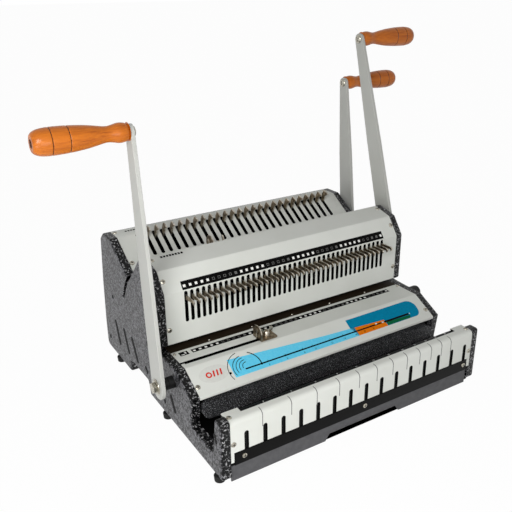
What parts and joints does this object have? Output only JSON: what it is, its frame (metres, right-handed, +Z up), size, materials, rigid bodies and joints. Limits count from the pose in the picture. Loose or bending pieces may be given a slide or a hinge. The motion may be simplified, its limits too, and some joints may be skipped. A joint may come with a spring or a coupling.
{
  "type": "wire binding machine",
  "caption": "Desk-top paper punch and wire binder with two punch throats, each with its own side lever, a front closing channel with its own lever, and a chip drawer.",
  "frame": {"origin": "on the table, under the middle of the machine's box", "axes": "+X to the user's right along the covers, +Y to the back, +Z up"},
  "size_m": [0.6756, 0.3834, 0.4729],
  "materials": {
    "hammertone": "hammer-finish enamel",
    "cover_paint": "satin powder coat",
    "black_paint": "satin black",
    "lever_paint": "satin powder coat",
    "wood": "varnished",
    "yellow_zinc": "yellow passivated zinc",
    "tool_steel": "oiled, dark",
    "steel": "bright zinc",
    "black_plastic": "moulded",
    "rubber": "matte"
  },
  "bodies": {
    "frame": {"left_side_panel": "hammertone", "right_side_panel": "hammertone", "front_cover": "cover_paint", "rear_cover": "cover_paint", "back_cover": "cover_paint", "rear_deck": "cover_paint", "deck_cover": "cover_paint", "front_wall_cover": "cover_paint", "front_wall_core": "black_paint", "front_rail": "black_paint", "channel_liner": "black_paint", "base_plate": "black_paint", "chip_chute": "steel", "front_die_plate": "tool_steel", "front_punch_guide": "steel", "front_shaft_bearing": "steel", "rear_die_plate": "tool_steel", "rear_punch_guide": "steel", "rear_shaft_bearing": "steel", "left_closer_bracket": "steel", "right_closer_bracket": "steel", "left_front_foot": "rubber", "right_front_foot": "rubber", "left_middle_foot": "rubber", "right_middle_foot": "rubber", "left_rear_foot": "rubber", "right_rear_foot": "rubber"},
    "closer_lever": {"closer_lever_arm": "lever_paint", "closer_pivot_bush": "black_plastic", "closer_pivot_bolt": "steel", "closer_grip_bolt": "steel", "closer_shaft": "steel", "closer_gear": "steel"},
    "closer_grip_body": {"closer_grip": "wood"},
    "crank": {"crankshaft": "steel", "crankshaft_gear": "steel"},
    "closing_bar_body": {"closing_bar": "hammertone"},
    "front_lever": {"front_lever_arm": "lever_paint", "front_pivot_bush": "black_plastic", "front_pivot_bolt": "steel", "front_grip_bolt": "steel", "front_cam_shaft": "steel"},
    "front_grip_body": {"front_grip": "wood"},
    "front_punch": {"front_punch_bar": "steel"},
    "rear_lever": {"rear_lever_arm": "lever_paint", "rear_pivot_bush": "black_plastic", "rear_pivot_bolt": "steel", "rear_grip_bolt": "steel", "rear_cam_shaft": "steel"},
    "rear_grip_body": {"rear_grip": "wood"},
    "rear_punch": {"rear_punch_bar": "steel"},
    "front_hooks": {"front_hook_row": "yellow_zinc"},
    "rear_hooks": {"rear_hook_row": "yellow_zinc"},
    "front_guide": {"front_edge_guide": "yellow_zinc"},
    "front_nut": {"front_wing_nut": "yellow_zinc"},
    "rear_guide": {"rear_edge_guide": "yellow_zinc"},
    "rear_nut": {"rear_wing_nut": "yellow_zinc"},
    "drawer": {"chip_drawer": "black_paint"},
    "knob": {"size_knob": "black_plastic"}
  },
  "joints": [
    {"name": "closer_lever_swing", "type": "hinge", "parent": "frame", "child": "closer_lever", "pos_m": [-0.0045, -0.0647, 0.077], "axis": [1, 0, 0], "range_deg": [0, 84]},
    {"name": "closer_grip_turn", "type": "hinge", "parent": "closer_lever", "child": "closer_grip_body", "pos_m": [-0.2445, -0.04266, 0.39223], "axis": [1, 0, 0], "continuous": true},
    {"name": "crank_turn", "type": "hinge", "parent": "frame", "child": "crank", "pos_m": [-0.0045, -0.0324, 0.077], "axis": [1, 0, 0], "range_deg": [-94.5, 0]},
    {"name": "closing_bar_slide", "type": "slide", "parent": "frame", "child": "closing_bar_body", "axis": [0, -1, 0], "range_m": [0, 0.03965]},
    {"name": "front_lever_swing", "type": "hinge", "parent": "frame", "child": "front_lever", "pos_m": [-0.0045, 0.0253, 0.1505], "axis": [1, 0, 0], "range_deg": [0, 100]},
    {"name": "front_grip_turn", "type": "hinge", "parent": "front_lever", "child": "front_grip_body", "pos_m": [0.2355, 0.11754, 0.45796], "axis": [1, 0, 0], "continuous": true},
    {"name": "front_punch_slide", "type": "slide", "parent": "frame", "child": "front_punch", "axis": [0, 0, -1], "range_m": [0, 0.009]},
    {"name": "rear_lever_swing", "type": "hinge", "parent": "frame", "child": "rear_lever", "pos_m": [-0.0045, 0.14137, 0.14899], "axis": [1, 0, 0], "range_deg": [0, 71]},
    {"name": "rear_grip_turn", "type": "hinge", "parent": "rear_lever", "child": "rear_grip_body", "pos_m": [0.2445, 0.16409, 0.3849], "axis": [1, 0, 0], "continuous": true},
    {"name": "rear_punch_slide", "type": "slide", "parent": "frame", "child": "rear_punch", "axis": [0, -0.8453, -0.5344], "range_m": [0, 0.009]},
    {"name": "front_hooks_slide", "type": "slide", "parent": "frame", "child": "front_hooks", "axis": [0, 0, -1], "range_m": [0, 0.03]},
    {"name": "rear_hooks_slide", "type": "slide", "parent": "frame", "child": "rear_hooks", "axis": [0, -0.8453, -0.5344], "range_m": [0, 0.028]},
    {"name": "front_guide_slide", "type": "slide", "parent": "frame", "child": "front_guide", "axis": [-1, 0, 0], "range_m": [0, 0.105]},
    {"name": "front_nut_turn", "type": "hinge", "parent": "front_guide", "child": "front_nut", "pos_m": [-0.0705, -0.0627, 0.0983], "axis": [0, 0, 1], "continuous": true},
    {"name": "rear_guide_slide", "type": "slide", "parent": "frame", "child": "rear_guide", "axis": [-1, 0, 0], "range_m": [0, 0.105]},
    {"name": "rear_nut_turn", "type": "hinge", "parent": "rear_guide", "child": "rear_nut", "pos_m": [-0.0705, 0.04686, 0.18862], "axis": [0, 0.7266, 0.6871], "continuous": true},
    {"name": "drawer_slide", "type": "slide", "parent": "frame", "child": "drawer", "axis": [0, -1, 0], "range_m": [0, 0.18]},
    {"name": "knob_turn", "type": "hinge", "parent": "frame", "child": "knob", "pos_m": [0.2025, -0.0477, 0.084], "axis": [1, 0, 0], "range_deg": [-150, 150]}
  ],
  "couplings": [
    {"joint": "crank_turn", "follows": "closer_lever_swing", "ratio": -1.125},
    {"joint": "closing_bar_slide", "follows": "closer_lever_swing", "m_per_rad": 0.027047},
    {"joint": "front_punch_slide", "follows": "front_lever_swing", "m_per_rad": 0.0051566},
    {"joint": "rear_punch_slide", "follows": "rear_lever_swing", "m_per_rad": 0.0072628}
  ]
}
